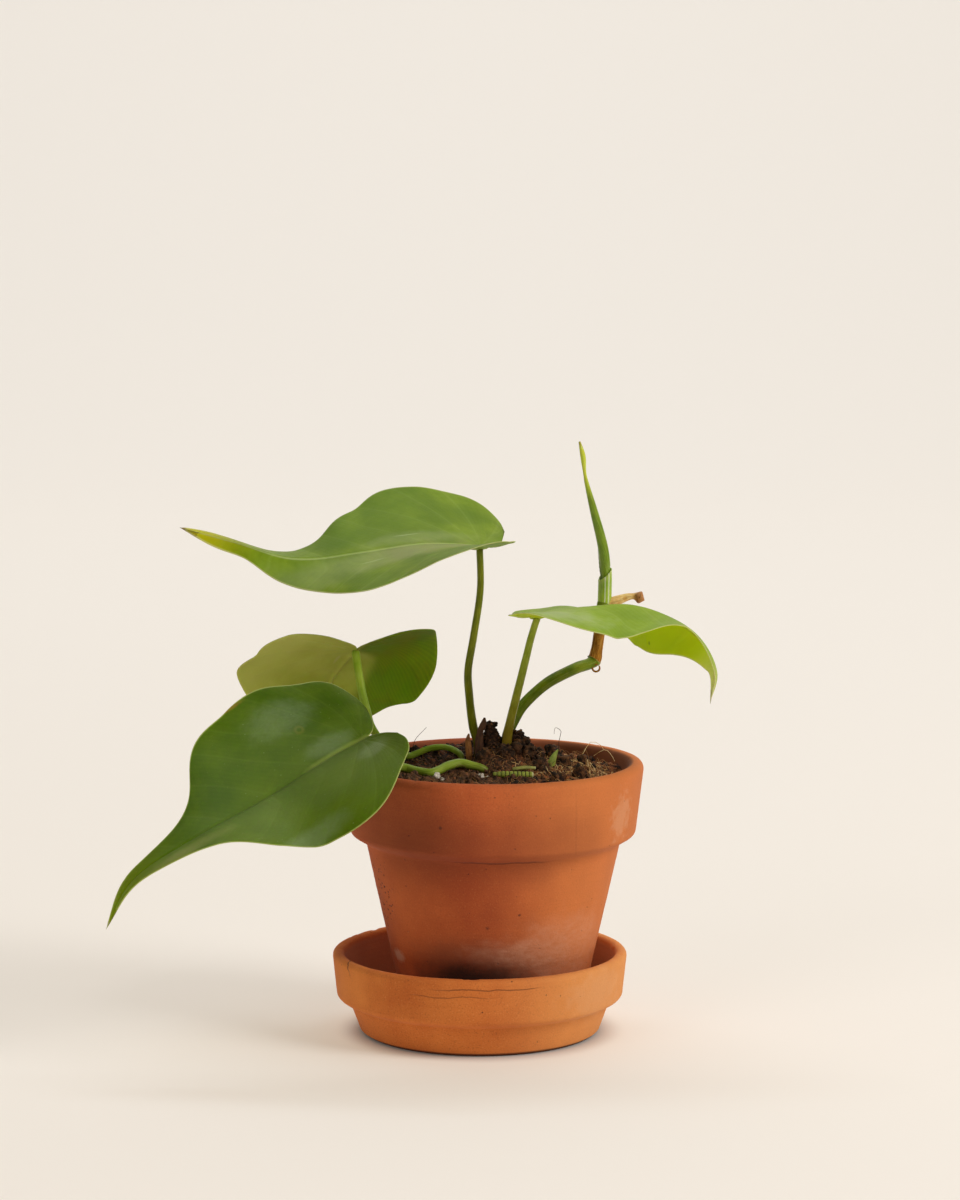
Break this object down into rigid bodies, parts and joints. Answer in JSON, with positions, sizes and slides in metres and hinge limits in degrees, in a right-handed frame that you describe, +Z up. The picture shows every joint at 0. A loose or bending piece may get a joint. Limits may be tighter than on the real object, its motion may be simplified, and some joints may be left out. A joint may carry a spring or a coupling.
{
  "type": "potted heartleaf philodendron",
  "caption": "Young heart-leaved climbing house plant with drooping pointed leaves and a rolled new leaf, in a terracotta pot standing in its saucer.",
  "frame": {"origin": "centre of the saucer's foot, on the surface that the saucer stands on", "axes": "+Z up, -Y towards the camera of the picture, +X to the right in it; the plant leans and trails towards -X"},
  "size_m": [0.2159, 0.1391, 0.2143],
  "materials": {
    "saucer_clay": "matte",
    "pot_clay": "matte",
    "soil": "matte",
    "leaf_mid": "satin",
    "leaf_pale": "satin",
    "leaf_deep": "satin",
    "stalk_olive": "satin",
    "stalk_green": "satin",
    "stem": "satin",
    "shoot": "satin",
    "dry": "matte",
    "stub": "satin"
  },
  "bodies": {
    "root": {"saucer": "saucer_clay", "pot": "pot_clay", "soil": "soil", "blade_top": "leaf_mid", "blade_right": "leaf_pale", "blade_front": "leaf_deep", "blade_back": "leaf_mid", "petiole_top": "stalk_olive", "petiole_right": "stalk_olive", "petiole_front": "stalk_green", "petiole_back": "stalk_green", "vine": "stem", "sheath": "shoot", "new_leaf": "shoot", "dry_stalk": "dry", "dry_scale_tall": "dry", "dry_scale_short": "dry", "ribbed_stub": "stub", "thin_stub": "stub", "cut_shoot": "shoot"}
  },
  "joints": []
}
